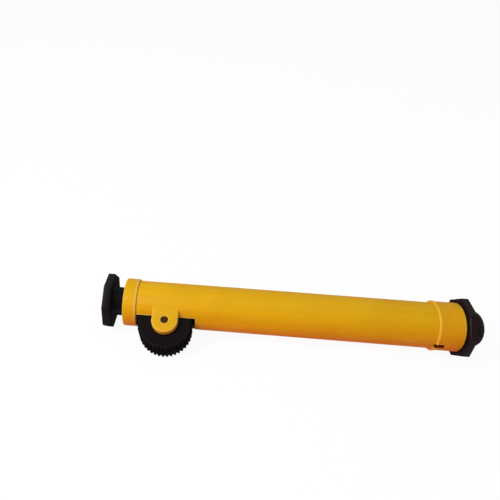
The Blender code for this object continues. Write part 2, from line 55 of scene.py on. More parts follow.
# Tube, collar and sleeve
TUBE_OUTER, TUBE_BORE, STEP_OUTER, TUBE_EDGE = 12.5 * MM, 10.2 * MM, 11.5 * MM, 0.3 * MM
TUBE_START, TUBE_END, STEP_LENGTH = 7.8 * MM, 168.65 * MM, 7.7 * MM
COLLAR_LENGTH, COLLAR_OUTER, COLLAR_WALL = 7.5 * MM, 13.25 * MM, 2.0 * MM
COLLAR_FRONT_EDGE, COLLAR_BACK_EDGE = 0.45 * MM, 0.6 * MM
SLEEVE_START, SLEEVE_END = 168.95 * MM, 183.0 * MM
SLEEVE_OUTER, SLEEVE_BORE, SLEEVE_EDGE = 13.25 * MM, 11.8 * MM, 0.9 * MM
LIP_OUTER, LIP_LENGTH, LIP_ROUND, LIP_FOOT = 13.65 * MM, 1.3 * MM, 1.0 * MM, 0.2 * MM
WINDOW_LENGTH, WINDOW_HEIGHT, WINDOW_EDGE = 4.6 * MM, 3.0 * MM, 0.12 * MM
WINDOW_TURN, CATCH_LENGTH = math.radians(10), 1.4 * MM

# Thumbwheel, its slot and ears
WHEEL_X, WHEEL_OUT = 23.85 * MM, 13.4 * MM
WHEEL_TEETH, TOOTH_MODULE, TOOTH_SHARE = 40, 0.73 * MM, 0.40
ADDENDUM, ROOT_CLEARANCE = 0.38 * MM, 0.25 * MM
FLANK_ANGLE = math.radians(20)
TOOTH_FULLER, TOOTH_TIP_ROUND, TOOTH_END_ROUND = 0.16 * MM, 0.45 * MM, 0.5 * MM
WHEEL_WIDTH, WHEEL_DISH, WHEEL_RIM = 13.1 * MM, 0.7 * MM, 2.6 * MM
HUB_RADIUS, AXLE_RADIUS, AXLE_PLAY, AXLE_RECESS = 5.0 * MM, 2.0 * MM, 0.2 * MM, 1.2 * MM
WASHER_RADIUS, WASHER_THICKNESS = 3.9 * MM, 0.8 * MM
SLOT_HALF, SLOT_END, SLOT_EDGE = 7.05 * MM, 40.1 * MM, 0.3 * MM
EAR_FACE, EAR_HALF_WIDTH, EAR_EDGE = 10.7 * MM, 7.1 * MM, 0.7 * MM

# Plunger
STEM_RADIUS, NECK_RADIUS, NECK_FLARE = 5.0 * MM, 7.95 * MM, 0.8 * MM
HEAD_FRONT, HEAD_BACK, NECK_INSIDE = -10.9 * MM, -6.8 * MM, 1.7 * MM
HEAD_RADIUS, HEAD_TURN, HEAD_EDGE = 15.65 * MM, math.radians(71.3), 0.4 * MM
SOCKET_DEPTH = 6.5 * MM
PISTON_LENGTH, PEG_RADIUS = 8.0 * MM, 1.1 * MM
RACK_TEETH_BEFORE, RACK_TEETH_AFTER = 5, 47

# Chuck
FLANGE_START, FLANGE_END = 183.3 * MM, 187.2 * MM
FLANGE_RADIUS, FLANGE_TURN, FLANGE_EDGE = 16.7 * MM, math.radians(67.5), 0.45 * MM
SPIGOT_LENGTH = 5.0 * MM
NOSE_START, NOSE_END = 187.5 * MM, 195.1 * MM
NOSE_RADIUS, NOSE_ROUND, NOSE_WALL = 9.8 * MM, 4.3 * MM, 2.0 * MM
CAGE_RADIUS, SEAL_RADIUS, SEAL_LENGTH = 8.2 * MM, 6.2 * MM, 27.0 * MM
MOUTH_RADIUS, SOCKET_RADIUS, NIPPLE_RADIUS, NIPPLE_LENGTH = 4.9 * MM, 3.2 * MM, 1.9 * MM, 4.5 * MM

# Marked places: the rubbed streak low on the tube, the painted highlight along the flange's rear edge, and the
# band over which the painted highlight on the collar's and sleeve's rims fades out
SCUFF_CENTRE, SCUFF_REACH = (155.2 * MM, -11.7 * MM, 4.3 * MM), (2.5 * MM, 0.77 * MM, 0.77 * MM)
FLANGE_HIGHLIGHT_CENTRE, FLANGE_HIGHLIGHT_REACH = (183.4 * MM, -5.9 * MM, 14.3 * MM), (1.4 * MM, 8.0 * MM, 8.0 * MM)
RIM_HIGHLIGHT_FADE = 1.8 * MM

# Sizes that follow from the others
PITCH_RADIUS = WHEEL_TEETH * TOOTH_MODULE / 2
WHEEL_RADIUS = PITCH_RADIUS + ADDENDUM
TOOTH_PITCH = math.pi * TOOTH_MODULE
ROOT_RADIUS = PITCH_RADIUS - ADDENDUM - ROOT_CLEARANCE
WHEEL_FLOOR = PITCH_RADIUS - ADDENDUM - 0.07 * MM
RACK_TOP_Y = PITCH_RADIUS - WHEEL_OUT - ADDENDUM
RACK_ROOT_Y = RACK_TOP_Y + WHEEL_RADIUS - ROOT_RADIUS
SEAL_END = NOSE_END - NOSE_WALL - FIT
SEAL_START = SEAL_END - SEAL_LENGTH
WINDOW_END = SLEEVE_START + WINDOW_LENGTH

# How finely the shapes are made, and how closely their points are told apart
ROUND_SIDES, WHEEL_SIDES, SMALL_SIDES, ARC_STEPS = 144, 176, 64, 48
EDGE_STEPS = 5
NEAR_AXIS = 0.0001 * MM  # a ring this small becomes one point on the axis
MERGE_DISTANCE = 0.002 * MM
TOUCH = 0.01 * MM
CLOSE = 0.05 * MM
EDGE_ANGLE, CREASE_ANGLE = math.radians(30), math.radians(38)
MASK_SAMPLES = 6
GRAIN_DEPTH = 0.1 * MM


def tool_pose():
    """Turns the tool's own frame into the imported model's, from the plunger's slide and the wheel's axle."""
    joints = {joint["name"]: joint for joint in frame["joints"]}
    along = -Vector(joints["plunger_slide"]["axis"]).normalized()
    axle = Vector(joints["wheel_spin"]["axis"]).normalized()
    across = axle.cross(along).normalized()
    turn = Matrix((along, across, along.cross(across))).transposed()
    origin = Vector(joints["wheel_spin"]["pos_m"]) - turn @ Vector((WHEEL_X, -WHEEL_OUT, 0))
    return Matrix.Translation(origin) @ turn.to_4x4()


POSE = tool_pose()


# ---- shapes ----------------------------------------------------------------------------------------------


def softened(corners, steps=4):
    """Rounds the corners of a closed outline. Each corner is (a, b, fillet radius)."""
    points = []
    for index, (a, b, fillet) in enumerate(corners):
        corner = Vector((a, b))
        if not fillet:
            points.append(corner)
            continue
        before = (Vector(corners[index - 1][:2]) - corner).normalized()
        after = (Vector(corners[(index + 1) % len(corners)][:2]) - corner).normalized()
        half = before.angle(after) / 2
        centre = corner + (before + after).normalized() * fillet / math.sin(half)
        first = corner + before * fillet / math.tan(half) - centre
        last = corner + after * fillet / math.tan(half) - centre
        for step in range(steps + 1):
            points.append(centre + fillet * first.normalized().slerp(last.normalized(), step / steps))
    return [(point.x, point.y) for point in points]


def piece_from(name, builder):
    """Makes the mesh builder an object in the tool's frame, with merged doubles and outward faces."""
    bmesh.ops.remove_doubles(builder, verts=builder.verts, dist=MERGE_DISTANCE)
    bmesh.ops.recalc_face_normals(builder, faces=builder.faces)
    mesh = bpy.data.meshes.new(name)
    builder.to_mesh(mesh)
    builder.free()
    piece = bpy.data.objects.new(name, mesh)
    bpy.context.scene.collection.objects.link(piece)
    return piece


def lofted(name, loops, closed=False):
    """Skins loops of equally many points, with a face at each end, or joined end to start when closed."""
    builder = bmesh.new()
    rings = [[builder.verts.new(point) for point in loop] for loop in loops]
    pairs = list(zip(rings, rings[1:])) + ([(rings[-1], rings[0])] if closed else [])
    for ring, following in pairs:
        for index in range(len(ring)):
            nearby = (index + 1) % len(ring)
            builder.faces.new((ring[index], ring[nearby], following[nearby], following[index]))
    if not closed:
        builder.faces.new(rings[0])
        builder.faces.new(rings[-1])
    return piece_from(name, builder)


def turned(name, corners, sides=ROUND_SIDES, steps=4, about="tube"):
    """Turns a closed outline of (along, radius, fillet) corners about the tube's axis, or about the axle."""
    turns = [2 * math.pi * side / sides for side in range(sides)]
    loops = []
    for along, radius in softened(corners, steps):
        ring = [(radius * math.cos(turn), radius * math.sin(turn)) for turn in turns]
        if about == "tube":
            loops.append([(along, a, b) for a, b in ring])
        else:
            loops.append([(WHEEL_X + a, b - WHEEL_OUT, along) for a, b in ring])
    return lofted(name, loops, closed=True)


def rod(name, start, end, radius, sides=ROUND_SIDES, fillet=0):
    """A round bar on the tube's axis, whose far rim may be rounded."""
    corners = [(start, NEAR_AXIS, 0), (start, radius, 0), (end, radius, fillet), (end, NEAR_AXIS, 0)]
    return turned(name, corners, sides)


def rounded_rim(end, way, edge, steps=EDGE_STEPS):
    """(position, inset) pairs that round a plate's edge as it reaches its end face, going this way."""
    turns = [math.pi / 2 * step / steps for step in reversed(range(steps + 1))]
    return [(end - way * edge * (1 - math.cos(turn)), edge * (1 - math.sin(turn))) for turn in turns]


def rounded_layers(start, end, edge, steps=EDGE_STEPS):
    """(position, inset) pairs for a plate whose two outer edges are rounded."""
    return rounded_rim(start, -1, edge, steps)[::-1] + rounded_rim(end, 1, edge, steps)


def octagon_plate(name, radius, turn, start, end, edge):
    """An octagon across the tube, with rounded corners and edges, and a flat's normal at this turn."""
    angles = [turn + math.pi * (2 * corner + 1) / 8 for corner in range(8)]
    loops = []
    for x, inset in rounded_layers(start, end, edge):
        reach = radius - inset / math.cos(math.pi / 8)
        outline = softened([(-reach * math.cos(angle), reach * math.sin(angle), edge) for angle in angles])
        loops.append([(x, y, z) for y, z in outline])
    return lofted(name, loops)


def box_outline(low_a, high_a, low_b, high_b):
    return [(low_a, low_b), (high_a, low_b), (high_a, high_b), (low_a, high_b)]


def combined(piece, other, operation):
    """Joins the other piece to this one, or cuts it away, and removes the other."""
    modifier = piece.modifiers.new(operation.lower(), "BOOLEAN")
    modifier.operation = operation
    modifier.solver = "EXACT"
    modifier.object = other
    piece = baked(piece)
    bpy.data.objects.remove(other)
    return piece


def baked(piece):
    """Turns what the modifiers make into the piece's plain mesh."""
    bpy.context.view_layer.update()
    evaluated = piece.evaluated_get(bpy.context.evaluated_depsgraph_get())
    made = bpy.data.meshes.new_from_object(evaluated)
    piece.modifiers.clear()
    piece.data = made
    return piece


def edges_rounded(piece, width, chosen, segments=3):
    """Rounds the edges whose two ends both pass the test."""
    builder = bmesh.new()
    builder.from_mesh(piece.data)
    bmesh.ops.remove_doubles(builder, verts=builder.verts, dist=MERGE_DISTANCE)
    edges = [
        edge
        for edge in builder.edges
        if len(edge.link_faces) == 2
        and edge.calc_face_angle(0) > EDGE_ANGLE
        and all(chosen(vert.co) for vert in edge.verts)
    ]
    bmesh.ops.bevel(
        builder, geom=edges, offset=width, segments=segments, profile=0.5, affect="EDGES", clamp_overlap=True
    )
    bmesh.ops.recalc_face_normals(builder, faces=builder.faces)
    builder.to_mesh(piece.data)
    builder.free()
    return piece


def off_axis(place):
    return math.hypot(place.y, place.z)


def painted_shade_marked(piece, hidden):
    """Marks the faces that lie inside a recess, for the material to darken them with painted shade."""
    marks = piece.data.attributes.new("recess", "FLOAT", "FACE")
    for face in piece.data.polygons:
        marks.data[face.index].value = float(hidden(face.center))
    return piece


def rim_highlight_marked(piece, raised):
    """Marks the points of a raised rim or edge, for the material to paint a pale highlight on. The mark fades out
    over the faces beside it.
    """
    marks = piece.data.attributes.new("rim_highlight", "FLOAT", "POINT")
    for point in piece.data.vertices:
        marks.data[point.index].value = float(raised(point.co))
    return piece


def settled(piece, material, body, node):
    """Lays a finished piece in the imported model's frame, dresses it and lets it stand for its CAD node."""
    mesh = piece.data
    mesh.transform(POSE)
    mesh.materials.clear()
    mesh.materials.append(material)
    mesh.polygons.foreach_set("material_index", [0] * len(mesh.polygons))
    mesh.shade_smooth()
    mesh.set_sharp_from_angle(angle=CREASE_ANGLE)
    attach(piece, body)
    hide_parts(node)


# ---- repeated teeth --------------------------------------------------------------------------------------


def tooth_row_tree():
    """Geometry Nodes: repeats the given tooth by a step along X and a turn about Z."""
    tree = bpy.data.node_groups.new("tooth_row", "GeometryNodeTree")
    for label, kind in (
        ("Tooth", "NodeSocketGeometry"),
        ("Count", "NodeSocketInt"),
        ("Step", "NodeSocketFloat"),
        ("Turn", "NodeSocketFloat"),
        ("Finish", "NodeSocketMaterial"),
    ):
        tree.interface.new_socket(label, in_out="INPUT", socket_type=kind)
    tree.interface.new_socket("Teeth", in_out="OUTPUT", socket_type="NodeSocketGeometry")
    nodes, link = tree.nodes, tree.links.new
    given = nodes.new("NodeGroupInput")
    index = nodes.new("GeometryNodeInputIndex")
    shift = nodes.new("ShaderNodeMath")
    spin = nodes.new("ShaderNodeMath")
    place = nodes.new("ShaderNodeCombineXYZ")
    facing = nodes.new("ShaderNodeCombineXYZ")
    points = nodes.new("GeometryNodePoints")
    copies = nodes.new("GeometryNodeInstanceOnPoints")
    solid = nodes.new("GeometryNodeRealizeInstances")
    finish = nodes.new("GeometryNodeSetMaterial")
    made = nodes.new("NodeGroupOutput")
    for node, factor in ((shift, "Step"), (spin, "Turn")):
        node.operation = "MULTIPLY"
        link(index.outputs["Index"], node.inputs[0])
        link(given.outputs[factor], node.inputs[1])
    link(shift.outputs[0], place.inputs["X"])
    link(spin.outputs[0], facing.inputs["Z"])
    link(given.outputs["Count"], points.inputs["Count"])
    link(place.outputs[0], points.inputs["Position"])
    link(points.outputs[0], copies.inputs["Points"])
    link(given.outputs["Tooth"], copies.inputs["Instance"])
    link(facing.outputs[0], copies.inputs["Rotation"])
    link(copies.outputs[0], solid.inputs["Geometry"])
    link(solid.outputs[0], finish.inputs["Geometry"])
    link(given.outputs["Finish"], finish.inputs["Material"])
    link(finish.outputs[0], made.inputs["Teeth"])
    return tree


def tooth_row(tooth, tree, count, step, turn, material):
    """Runs the tooth through the tree, and leaves a plain mesh."""
    row = tooth.modifiers.new("teeth", "NODES")
    row.node_group = tree
    values = {"Count": count, "Step": step, "Turn": turn, "Finish": material}
    for item in tree.interface.items_tree:
        if item.name in values:
            row[item.identifier] = values[item.name]
    return baked(tooth)


# ---- finishes --------------------------------------------------------------------------------------------


def feed(tree, socket, value):
    """Links an output socket to this one, or sets a plain value."""
    if isinstance(value, bpy.types.NodeSocket):
        tree.links.new(value, socket)
    else:
        socket.default_value = value


def node_group(name, inputs, outputs):
    """An empty shader node group with named sockets, what it is given and what it has to make."""
    group = bpy.data.node_groups.new(name, "ShaderNodeTree")
    for label, default in inputs.items():
        kind = {float: "NodeSocketFloat", tuple: "NodeSocketColor"}.get(type(default), "NodeSocketVector")
        socket = group.interface.new_socket(label, in_out="INPUT", socket_type=kind)
        if default is not None:
            socket.default_value = default
    for label, kind in outputs.items():
        group.interface.new_socket(label, in_out="OUTPUT", socket_type=kind)
    return group, group.nodes.new("NodeGroupInput").outputs, group.nodes.new("NodeGroupOutput").inputs


def math_node(tree, operation, *operands, clamp=False):
    """A Math node; each operand is a number or an output socket."""
    node = tree.nodes.new("ShaderNodeMath")
    node.operation = operation
    node.use_clamp = clamp
    for socket, value in zip(node.inputs, operands):
        feed(tree, socket, value)
    return node.outputs[0]


def vector_node(tree, operation, *operands, result="Vector"):
    """A Vector Math node; each operand is a tuple or an output socket."""
    node = tree.nodes.new("ShaderNodeVectorMath")
    node.operation = operation
    for socket, value in zip(node.inputs, operands):
        feed(tree, socket, value)
    return node.outputs[result]


def noise(tree, vector, scale, detail=3.0):
    node = tree.nodes.new("ShaderNodeTexNoise")
    for label, value in (("Vector", vector), ("Scale", scale), ("Detail", detail), ("Roughness", 0.55)):
        feed(tree, node.inputs[label], value)
    return node.outputs["Fac"]


def streaked(tree, vector, stretch, detail):
    """Noise whose scale differs along each axis."""
    return noise(tree, vector_node(tree, "MULTIPLY", vector, stretch), 1.0, detail)


def spread(tree, value, low, high, to_low=0.0, to_high=1.0):
    """Maps a value's range smoothly to another."""
    node = tree.nodes.new("ShaderNodeMapRange")
    node.interpolation_type = "SMOOTHSTEP"
    tree.links.new(value, node.inputs["Value"])
    for label, number in (("From Min", low), ("From Max", high), ("To Min", to_low), ("To Max", to_high)):
        node.inputs[label].default_value = number
    return node.outputs["Result"]


def colour_mix(tree, share, first, second):
    node = tree.nodes.new("ShaderNodeMix")
    node.data_type = "RGBA"
    for label, value in (("Factor", share), ("A", first), ("B", second)):
        feed(tree, node.inputs[label], value)
    return node.outputs["Result"]


def mould_flow_group():
    """Colour and gloss of injected plastic: long flow streaks along the tube over a cloudy mottle."""
    group, given, made = node_group(
        "mould_flow",
        {"Place": None, "Colour": (0.5, 0.5, 0.5, 1.0), "Deep colour": (0.3, 0.3, 0.3, 1.0), "Streaks": 0.5},
        {"Colour": "NodeSocketColor", "Tone": "NodeSocketFloat"},
    )
    cloud = spread(group, noise(group, given["Place"], 60.0, 4.0), 0.3, 0.75)
    streak = spread(group, streaked(group, given["Place"], (14.0, 420.0, 420.0), 3.0), 0.35, 0.75)
    uneven = math_node(group, "MULTIPLY", streak, given["Streaks"])
    tone = math_node(group, "ADD", uneven, math_node(group, "MULTIPLY", cloud, 0.5), clamp=True)
    group.links.new(colour_mix(group, tone, given["Colour"], given["Deep colour"]), made["Colour"])
    group.links.new(tone, made["Tone"])
    return group


def moulded_skin_group():
    """Height of the fine grain that a mould leaves, with faint long scratches from handling."""
    group, given, made = node_group(
        "moulded_skin", {"Place": None, "Grain size": 2400.0, "Scratches": 0.4}, {"Height": "NodeSocketFloat"}
    )
    grain = math_node(group, "MULTIPLY", noise(group, given["Place"], given["Grain size"], 2.0), 0.5)
    waves = math_node(group, "MULTIPLY", noise(group, given["Place"], 180.0, 2.0), 0.8)
    line = spread(group, streaked(group, given["Place"], (70.0, 1500.0, 900.0), 1.0), 0.66, 0.7)
    marks = math_node(group, "MULTIPLY", line, math_node(group, "MULTIPLY", given["Scratches"], -1.0))
    surface = math_node(group, "ADD", waves, grain)
    group.links.new(math_node(group, "ADD", surface, marks), made["Height"])
    return group


def edge_wear_and_highlight_group():
    """Mask of the exposed edges that the material paints pale: partly rubbed by hands and the bench, partly a
    painted highlight where a rounded edge catches the light. Broken up by noise.
    """
    group, given, made = node_group(
        "edge_wear_and_highlight", {"Place": None, "Width": 0.0004, "Amount": 0.5}, {"Mask": "NodeSocketFloat"}
    )
    soft = group.nodes.new("ShaderNodeBevel")
    soft.samples = MASK_SAMPLES
    group.links.new(given["Width"], soft.inputs["Radius"])
    face = group.nodes.new("ShaderNodeNewGeometry")
    facing = vector_node(group, "DOT_PRODUCT", soft.outputs["Normal"], face.outputs["Normal"], result="Value")
    edge = spread(group, facing, 0.998, 0.92)
    patchy = spread(group, noise(group, given["Place"], 420.0, 4.0), 0.3, 0.65, 0.5, 1.0)
    room = group.nodes.new("ShaderNodeAmbientOcclusion")
    room.samples = MASK_SAMPLES
    room.inputs["Distance"].default_value = 1.2 * MM
    exposed = math_node(group, "MULTIPLY", edge, spread(group, room.outputs["AO"], 0.6, 0.9))
    worn = math_node(group, "MULTIPLY", exposed, patchy)
    group.links.new(math_node(group, "MULTIPLY", worn, given["Amount"], clamp=True), made["Mask"])
    return group


def specks_group():
    """Mask of sparse dust specks and tiny dents."""
    group, given, made = node_group(
        "specks", {"Place": None, "Spacing": 260.0, "Share": 0.06}, {"Mask": "NodeSocketFloat"}
    )
    cell = group.nodes.new("ShaderNodeTexVoronoi")
    for label, value in (("Vector", given["Place"]), ("Scale", given["Spacing"]), ("Randomness", 1.0)):
        feed(group, cell.inputs[label], value)
    dot = spread(group, cell.outputs["Distance"], 0.16, 0.07)
    parts = group.nodes.new("ShaderNodeSeparateColor")
    group.links.new(cell.outputs["Color"], parts.inputs["Color"])
    chosen = math_node(group, "LESS_THAN", parts.outputs["Red"], given["Share"])
    group.links.new(math_node(group, "MULTIPLY", dot, chosen), made["Mask"])
    return group


def scuff_and_highlight_group():
    """Mask of one marked place, fading out towards its reach along each axis and broken up by streaks: the scuff
    rubbed into the tube, and the painted highlight on the flange's rear edge.
    """
    group, given, made = node_group(
        "scuff", {"Place": None, "Centre": None, "Reach": None, "Solid": 0.0}, {"Mask": "NodeSocketFloat"}
    )
    away = vector_node(group, "SUBTRACT", given["Place"], given["Centre"])
    distance = vector_node(group, "LENGTH", vector_node(group, "DIVIDE", away, given["Reach"]), result="Value")
    streaks = spread(group, streaked(group, given["Place"], (300.0, 2200.0, 2200.0), 3.0), 0.4, 0.6)
    broken = math_node(group, "ADD", streaks, given["Solid"], clamp=True)
    group.links.new(math_node(group, "MULTIPLY", broken, spread(group, distance, 1.0, 0.5)), made["Mask"])
    return group


GROUPS = {
    "scuff": scuff_and_highlight_group(),
    "flow": mould_flow_group(),
    "skin": moulded_skin_group(),
    "wear_and_highlight": edge_wear_and_highlight_group(),
    "specks": specks_group(),
}


def new_finish(name, slot):
    """A material with its shader and the place on the tool, in the tool's own frame."""
    material = bpy.data.materials.new(name)
    material.use_nodes = True
    material["slot"] = slot
    tree = material.node_tree
    coordinates = tree.nodes.new("ShaderNodeTexCoord")
    place = tree.nodes.new("ShaderNodeMapping")
    place.vector_type = "TEXTURE"
    place.inputs["Location"].default_value = POSE.to_translation()
    place.inputs["Rotation"].default_value = POSE.to_euler()
    tree.links.new(coordinates.outputs["Object"], place.inputs["Vector"])
    return material, tree, tree.nodes["Principled BSDF"], place.outputs["Vector"]


def effect(tree, label, place, **values):
    """Places one of the shared effects in a material. Its values are named after the group's inputs."""
    node = tree.nodes.new("ShaderNodeGroup")
    node.node_tree = GROUPS[label]
    tree.links.new(place, node.inputs["Place"])
    for name, value in values.items():
        feed(tree, node.inputs[name.replace("_", " ")], value)
    return node.outputs


def marked(tree, attribute, strength):
    """The piece's own mark of this name, times its strength."""
    node = tree.nodes.new("ShaderNodeAttribute")
    node.attribute_name = attribute
    return math_node(tree, "MULTIPLY", node.outputs["Fac"], strength)


def bumped(tree, shader, height, strength, distance):
    bump = tree.nodes.new("ShaderNodeBump")
    bump.inputs["Strength"].default_value = strength
    bump.inputs["Distance"].default_value = distance
    tree.links.new(height, bump.inputs["Height"])
    tree.links.new(bump.outputs["Normal"], shader.inputs["Normal"])


def moulded_plastic(name, slot, look, **colours):
    """Injection-moulded plastic: flow streaks, mottle, pale edges that are partly rubbed and partly painted
    highlight, specks, painted shade in recesses, fine grain and uneven gloss.
    """
    plain, deep, worn, speck = ((*colours[use], 1.0) for use in ("plain", "deep", "worn", "speck"))
    material, tree, shader, place = new_finish(name, slot)
    flow = effect(tree, "flow", place, Colour=plain, Deep_colour=deep, Streaks=look["streaks"])
    scuff = effect(
        tree, "scuff", place, Centre=look["scuff_and_highlight_centre"], Reach=look["scuff_and_highlight_reach"], Solid=look["scuff_and_highlight_solid"]
    )
    # Inside the marked place on the flange, the pale-edge mask is raised into a painted highlight.
    wear_and_highlight_amount = math_node(tree, "MULTIPLY_ADD", scuff["Mask"], look["painted_highlight"], look["wear_and_highlight"])
    wear_and_highlight = effect(tree, "wear_and_highlight", place, Width=look["wear_and_highlight_width"], Amount=wear_and_highlight_amount)
    dots = effect(tree, "specks", place, Spacing=look["speck_spacing"], Share=look["speck_share"])
    skin = effect(tree, "skin", place, Grain_size=look["grain"], Scratches=look["scratches"])

    tint = flow["Colour"]
    # Pale edges and rim marks take a painted highlight, partly real rubbing; specks are dust; the scuff is rubbed.
    for share, over in (
        (math_node(tree, "MAXIMUM", wear_and_highlight["Mask"], marked(tree, "rim_highlight", look["rim_highlight"])), worn),
        (math_node(tree, "MULTIPLY", dots["Mask"], look["speck_strength"]), speck),
        (math_node(tree, "MULTIPLY", scuff["Mask"], look["scuff"]), worn),
        # Faces marked as in a recess darken with painted shade.
        (marked(tree, "recess", look["recess"]), (*look["painted_shade_colour"], 1.0)),
    ):
        tint = colour_mix(tree, share, tint, over)
    tree.links.new(tint, shader.inputs["Base Color"])

    uneven = math_node(tree, "MULTIPLY_ADD", flow["Tone"], look["gloss_spread"], look["roughness"])
    dusty = math_node(tree, "MULTIPLY_ADD", dots["Mask"], 0.2, uneven)
    slant = tree.nodes.new("ShaderNodeLayerWeight")
    slant.inputs["Blend"].default_value = 0.5
    dull = math_node(tree, "MULTIPLY", spread(tree, slant.outputs["Facing"], 0.3, 0.75), look["dull_slant"])
    tree.links.new(math_node(tree, "ADD", dusty, dull, clamp=True), shader.inputs["Roughness"])
    shader.inputs["Specular IOR Level"].default_value = look["specular"]
    bumped(tree, shader, skin["Height"], look["bump"], GRAIN_DEPTH)
    return material


PALE_LOOK = {
    "streaks": 0.3, "wear_and_highlight_width": 0.0004, "wear_and_highlight": 0.2, "speck_spacing": 240.0, "speck_share": 0.04,
    "speck_strength": 0.4, "grain": 2600.0, "scratches": 0.4, "gloss_spread": 0.1, "roughness": 0.4,
    "specular": 0.4, "bump": 0.2, "recess": 0.0, "painted_shade_colour": (0.0, 0.0, 0.0), "rim_highlight": 0.0,
    "scuff": 0.0, "scuff_and_highlight_centre": SCUFF_CENTRE, "scuff_and_highlight_reach": SCUFF_REACH, "scuff_and_highlight_solid": 0.0,
    "painted_highlight": 0.0, "dull_slant": 0.2,
}
# Yellow: pale edges and rim marks are mostly painted highlight; the recess marks paint dark red-brown shade into
# the slot, the notch and the tube under the sleeve.
YELLOW_LOOK = {
    **PALE_LOOK, "streaks": 0.35, "wear_and_highlight_width": 0.0007, "wear_and_highlight": 0.9, "speck_spacing": 170.0,
    "speck_share": 0.02, "speck_strength": 0.35, "scratches": 0.5, "roughness": 0.36, "specular": 0.12,
    "bump": 0.22, "recess": 0.97, "painted_shade_colour": (0.11, 0.011, 0.001), "rim_highlight": 0.32, "scuff": 0.7,
}
# Black: the recess marks paint shade on the head's neck; the marked place is the flange's rear edge, which the
# chuck paints with a highlight.
BLACK_LOOK = {
    **PALE_LOOK, "streaks": 0.4, "wear_and_highlight_width": 0.0006, "wear_and_highlight": 0.7, "speck_spacing": 300.0,
    "speck_share": 0.06, "speck_strength": 0.3, "grain": 1900.0, "scratches": 0.6, "roughness": 0.3,
    "specular": 0.07, "bump": 0.3, "recess": 0.8, "painted_shade_colour": (0.001, 0.0006, 0.0008),
    "scuff_and_highlight_centre": FLANGE_HIGHLIGHT_CENTRE, "scuff_and_highlight_reach": FLANGE_HIGHLIGHT_REACH, "scuff_and_highlight_solid": 1.0, "dull_slant": 0.7,
}


def soft_rubber(name, slot, colour, bloom, roughness):
    """Moulded rubber or silicone: matte, with a pale bloom in patches and a fine pebbled skin."""
    material, tree, shader, place = new_finish(name, slot)
    patch = spread(tree, noise(tree, place, 210.0, 4.0), 0.4, 0.72)
    tree.links.new(colour_mix(tree, patch, (*colour, 1.0), (*bloom, 1.0)), shader.inputs["Base Color"])
    tree.links.new(math_node(tree, "MULTIPLY_ADD", patch, 0.12, roughness), shader.inputs["Roughness"])
    shader.inputs["Specular IOR Level"].default_value = 0.3
    skin = effect(tree, "skin", place, Grain_size=3200.0, Scratches=0.1)
    bumped(tree, shader, skin["Height"], 0.35, GRAIN_DEPTH)
    return material


def turned_steel(name, slot, bright, stained):
    """Dark turned steel, with fine rings from the lathe and darker oil stains."""
    material, tree, shader, place = new_finish(name, slot)
    rings = streaked(tree, place, (260.0, 260.0, 9000.0), 2.0)
    stain = spread(tree, noise(tree, place, 700.0), 0.4, 0.7)
    tree.links.new(colour_mix(tree, stain, (*bright, 1.0), (*stained, 1.0)), shader.inputs["Base Color"])
    tree.links.new(spread(tree, rings, 0.3, 0.7, 0.3, 0.48), shader.inputs["Roughness"])
    shader.inputs["Metallic"].default_value = 1.0
    bumped(tree, shader, rings, 0.25, GRAIN_DEPTH / 2)
    return material


FINISH = {
    "yellow": moulded_plastic(
        "satin_yellow_plastic", "yellow_plastic", YELLOW_LOOK,
        plain=(0.82, 0.45, 0.004), deep=(0.73, 0.375, 0.003), worn=(1.0, 0.76, 0.22), speck=(0.5, 0.2, 0.02),
    ),
    "amber": moulded_plastic(
        "amber_sleeve_plastic", "yellow_plastic", YELLOW_LOOK,
        plain=(0.8, 0.39, 0.004), deep=(0.71, 0.32, 0.003), worn=(1.0, 0.78, 0.07), speck=(0.5, 0.2, 0.02),
    ),
    "black": moulded_plastic(
        "satin_black_plastic", "black_plastic", BLACK_LOOK, plain=(0.0068, 0.004, 0.0056),
        deep=(0.0036, 0.002, 0.0029), worn=(0.034, 0.031, 0.038), speck=(0.05, 0.045, 0.045),
    ),
    # The chuck's pale edge colour is the blue-grey of the painted highlight on the flange's rear edge.
    "chuck": moulded_plastic(
        "warm_black_plastic", "black_plastic", {**BLACK_LOOK, "wear_and_highlight": 0.08, "painted_highlight": 0.92},
        plain=(0.0145, 0.0049, 0.0062), deep=(0.0086, 0.0028, 0.0036), worn=(0.22, 0.25, 0.3),
        speck=(0.05, 0.04, 0.04),
    ),
    "gear": moulded_plastic(
        "matte_gear_plastic", "black_plastic", {**BLACK_LOOK, "wear_and_highlight": 0.3, "specular": 0.05, "roughness": 0.42},
        plain=(0.0055, 0.0034, 0.0038), deep=(0.003, 0.0018, 0.002), worn=(0.02, 0.018, 0.02),
        speck=(0.04, 0.036, 0.036),
    ),
    "white": moulded_plastic(
        "white_bearing_plastic", "white_plastic", PALE_LOOK,
        plain=(0.78, 0.77, 0.73), deep=(0.7, 0.68, 0.62), worn=(0.85, 0.84, 0.8), speck=(0.3, 0.27, 0.22),
    ),
    "clear": moulded_plastic(
        "natural_barrel_plastic", "natural_plastic", {**PALE_LOOK, "roughness": 0.26},
        plain=(0.66, 0.68, 0.66), deep=(0.58, 0.6, 0.56), worn=(0.75, 0.76, 0.74), speck=(0.35, 0.34, 0.3),
    ),
    "rubber": soft_rubber("black_ring_rubber", "black_rubber", (0.018, 0.016, 0.016), (0.04, 0.038, 0.036), 0.62),
    "silicone": soft_rubber("grey_seat_silicone", "grey_silicone", (0.4, 0.4, 0.38), (0.48, 0.47, 0.45), 0.45),
    # The axle's dark brown is partly painted shade, for the pin's end set deep in the ear's hole.
    "steel": turned_steel("dark_steel_with_painted_shade", "axle_steel", (0.05, 0.026, 0.006), (0.024, 0.012, 0.003)),
}


# ---- pieces ----------------------------------------------------------------------------------------------


